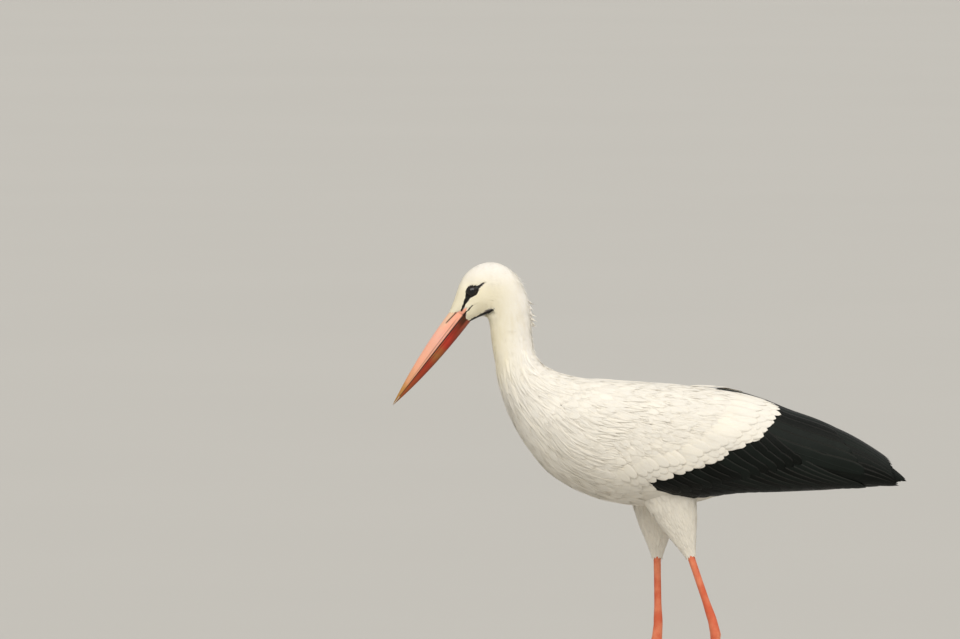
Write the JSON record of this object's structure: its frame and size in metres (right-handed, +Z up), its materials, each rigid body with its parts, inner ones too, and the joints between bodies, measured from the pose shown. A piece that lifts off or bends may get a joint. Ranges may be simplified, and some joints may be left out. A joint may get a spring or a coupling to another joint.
{
  "type": "white stork",
  "caption": "Life-size white stork walking with its head lowered and its wings folded, a still model with white and black plumage, a long red bill and long red legs.",
  "frame": {"origin": "on the ground, under the middle of the bird's bounding box", "axes": "+Z is up, the bird faces -X, and its left side is at -Y"},
  "size_m": [0.7875, 0.1908, 0.7861],
  "materials": {
    "plumage_white": "soft matt feathers, warm white",
    "plumage_black": "satin black flight feathers",
    "bill_red": "satin horn, salmon above and deeper red below",
    "leg_red": "matt scaly skin",
    "eye_dark": "wet gloss, dark brown",
    "claw_horn": "dark horn"
  },
  "bodies": {
    "root": {"head": "plumage_white", "neck_upper": "plumage_white", "neck_middle": "plumage_white", "neck_lower": "plumage_white", "trunk": "plumage_white", "tail": "plumage_white", "thigh_left": "plumage_white", "thigh_right": "plumage_white", "wing_left_coverts": "plumage_white", "wing_right_coverts": "plumage_white", "wing_left_secondaries": "plumage_black", "wing_left_tertials": "plumage_black", "wing_left_primaries": "plumage_black", "wing_right_secondaries": "plumage_black", "wing_right_tertials": "plumage_black", "wing_right_primaries": "plumage_black", "bill_upper": "bill_red", "bill_lower": "bill_red", "shank_left": "leg_red", "tarsus_left": "leg_red", "palm_left": "leg_red", "shank_right": "leg_red", "tarsus_right": "leg_red", "palm_right": "leg_red", "toe_left_inner": "leg_red", "toe_left_middle": "leg_red", "toe_left_outer": "leg_red", "toe_left_hind": "leg_red", "toe_right_inner": "leg_red", "toe_right_middle": "leg_red", "toe_right_outer": "leg_red", "toe_right_hind": "leg_red", "eye_left": "eye_dark", "eye_right": "eye_dark", "claw_left_inner": "claw_horn", "claw_left_middle": "claw_horn", "claw_left_outer": "claw_horn", "claw_left_hind": "claw_horn", "claw_right_inner": "claw_horn", "claw_right_middle": "claw_horn", "claw_right_outer": "claw_horn", "claw_right_hind": "claw_horn"}
  },
  "joints": []
}
